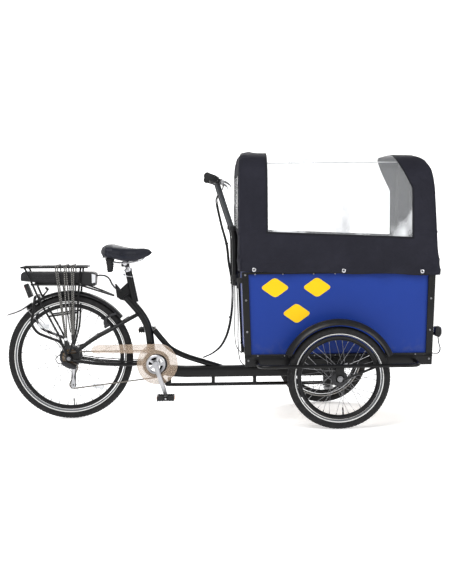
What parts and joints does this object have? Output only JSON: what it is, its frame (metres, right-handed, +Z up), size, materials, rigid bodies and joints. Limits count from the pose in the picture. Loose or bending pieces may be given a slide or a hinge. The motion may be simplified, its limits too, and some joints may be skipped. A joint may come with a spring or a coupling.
{
  "type": "electric cargo tricycle",
  "caption": "Pedal cargo tricycle with a steered front box under a windowed cloth hood, hub motor, rack battery and fold-up stand.",
  "frame": {"origin": "on the floor under the middle of the overall box", "axes": "+X forward, +Y to the rider's left, +Z up"},
  "size_m": [2.209, 0.9242, 1.3623],
  "materials": {
    "frame_black": "gloss",
    "box_blue": "satin",
    "plywood": "oiled",
    "canopy_cloth": "coated weave",
    "clear_plastic": "clear",
    "tyre_rubber": "moulded",
    "silver_metal": "polished",
    "dark_metal": "dark",
    "grey_paint": "satin",
    "black_plastic": "moulded",
    "tan_guard": "smoked translucent",
    "saddle_skin": "stitched vinyl",
    "battery_black": "moulded",
    "red_lens": "lens",
    "cord_black": "sheathed"
  },
  "bodies": {
    "frame": {"seat_mast": "frame_black", "load_beam": "frame_black", "lower_rail": "frame_black", "steering_head": "frame_black", "chain_stay_right": "frame_black", "chain_stay_left": "frame_black", "seat_stay_right": "frame_black", "seat_stay_left": "frame_black", "rear_axle": "silver_metal", "rear_rack": "frame_black", "battery": "battery_black", "battery_dock": "clear_plastic", "tail_light": "red_lens", "rear_mudguard": "black_plastic", "chain": "dark_metal", "chain_guard": "tan_guard", "derailleur": "dark_metal"},
    "front": {"box_floor": "plywood", "box_panel_rear": "box_blue", "box_panel_front": "box_blue", "bench": "plywood", "box_panel_right": "box_blue", "box_panel_left": "box_blue", "box_frame_right": "frame_black", "box_frame_left": "frame_black", "kingpin": "dark_metal", "floor_cradle": "frame_black", "bumper_right": "frame_black", "bumper_left": "frame_black", "front_mudguard_right": "black_plastic", "front_mudguard_left": "black_plastic", "canopy": "canopy_cloth", "canopy_hoops": "dark_metal", "handlebar": "grey_paint", "grip_right": "black_plastic", "grip_left": "black_plastic", "control_cords": "cord_black", "headlamp": "dark_metal"},
    "seat": {"seat_post": "silver_metal", "saddle": "saddle_skin"},
    "rear_wheel": {"rear_tyre": "tyre_rubber", "rear_rim": "silver_metal", "rear_hub_motor": "silver_metal"},
    "freewheel": {"rear_cogs": "dark_metal"},
    "crank": {"crank_right": "silver_metal", "crank_left": "silver_metal", "chainring": "silver_metal"},
    "right_pedal": {"pedal_right": "black_plastic"},
    "left_pedal": {"pedal_left": "black_plastic"},
    "tension_jockey": {"tension_pulley": "black_plastic"},
    "guide_jockey": {"guide_pulley": "black_plastic"},
    "right_brake_arm": {"rear_brake_arm_right": "silver_metal"},
    "left_brake_arm": {"rear_brake_arm_left": "silver_metal"},
    "stand": {"rear_stand": "frame_black"},
    "right_front_wheel": {"front_tyre_right": "tyre_rubber", "front_wheel_right": "silver_metal"},
    "left_front_wheel": {"front_tyre_left": "tyre_rubber", "front_wheel_left": "silver_metal"},
    "right_lever": {"brake_lever_right": "silver_metal"},
    "left_lever": {"brake_lever_left": "silver_metal"}
  },
  "joints": [
    {"name": "steering", "type": "hinge", "parent": "frame", "child": "front", "pos_m": [0.5655, 0, 0.22], "axis": [0, 0, 1], "range_deg": [-35, 35]},
    {"name": "rear_wheel_spin", "type": "hinge", "parent": "frame", "child": "rear_wheel", "pos_m": [-0.7795, 0, 0.325], "axis": [0, 1, 0], "continuous": true},
    {"name": "freewheel_spin", "type": "hinge", "parent": "frame", "child": "freewheel", "pos_m": [-0.7795, 0, 0.325], "axis": [0, 1, 0], "continuous": true},
    {"name": "crank_spin", "type": "hinge", "parent": "frame", "child": "crank", "pos_m": [-0.3355, 0, 0.285], "axis": [0, 1, 0], "continuous": true},
    {"name": "right_pedal_spin", "type": "hinge", "parent": "crank", "child": "right_pedal", "pos_m": [-0.28359, -0.15, 0.12522], "axis": [0, 1, 0], "continuous": true},
    {"name": "left_pedal_spin", "type": "hinge", "parent": "crank", "child": "left_pedal", "pos_m": [-0.38741, 0.15, 0.44478], "axis": [0, 1, 0], "continuous": true},
    {"name": "tension_pulley_spin", "type": "hinge", "parent": "frame", "child": "tension_jockey", "pos_m": [-0.7635, -0.05, 0.183], "axis": [0, 1, 0], "continuous": true},
    {"name": "guide_pulley_spin", "type": "hinge", "parent": "frame", "child": "guide_jockey", "pos_m": [-0.7595, -0.05, 0.273], "axis": [0, 1, 0], "continuous": true},
    {"name": "right_front_wheel_spin", "type": "hinge", "parent": "front", "child": "right_front_wheel", "pos_m": [0.5735, -0.4, 0.253], "axis": [0, 1, 0], "continuous": true},
    {"name": "left_front_wheel_spin", "type": "hinge", "parent": "front", "child": "left_front_wheel", "pos_m": [0.5735, 0.4, 0.253], "axis": [0, 1, 0], "continuous": true},
    {"name": "right_brake_lever", "type": "hinge", "parent": "front", "child": "right_lever", "pos_m": [0.0105, -0.222, 1.224], "axis": [0, 0, -1], "range_deg": [0, 20], "stiffness_Nm_per_rad": 1.5},
    {"name": "left_brake_lever", "type": "hinge", "parent": "front", "child": "left_lever", "pos_m": [0.0105, 0.222, 1.224], "axis": [0, 0, 1], "range_deg": [0, 20], "stiffness_Nm_per_rad": 1.5},
    {"name": "right_brake_arm_pull", "type": "hinge", "parent": "frame", "child": "right_brake_arm", "pos_m": [-0.5835, -0.04, 0.47], "axis": [0.874, 0, 0.486], "range_deg": [0, 4], "stiffness_Nm_per_rad": 2},
    {"name": "left_brake_arm_pull", "type": "hinge", "parent": "frame", "child": "left_brake_arm", "pos_m": [-0.5835, 0.04, 0.47], "axis": [0.874, 0, 0.486], "range_deg": [-4, 0], "stiffness_Nm_per_rad": 2},
    {"name": "stand_fold", "type": "hinge", "parent": "frame", "child": "stand", "pos_m": [-0.7795, 0, 0.325], "axis": [0, -1, 0], "range_deg": [0, 157]},
    {"name": "seat_height", "type": "slide", "parent": "frame", "child": "seat", "axis": [-0.1931, 0, 0.9812], "range_m": [0, 0.1]}
  ],
  "couplings": [
    {"joint": "freewheel_spin", "follows": "crank_spin", "ratio": 2.3333},
    {"joint": "tension_pulley_spin", "follows": "crank_spin", "ratio": 3.5},
    {"joint": "guide_pulley_spin", "follows": "crank_spin", "ratio": -3.5},
    {"joint": "right_brake_arm_pull", "follows": "right_brake_lever", "ratio": 0.2},
    {"joint": "left_brake_arm_pull", "follows": "right_brake_lever", "ratio": -0.2}
  ]
}
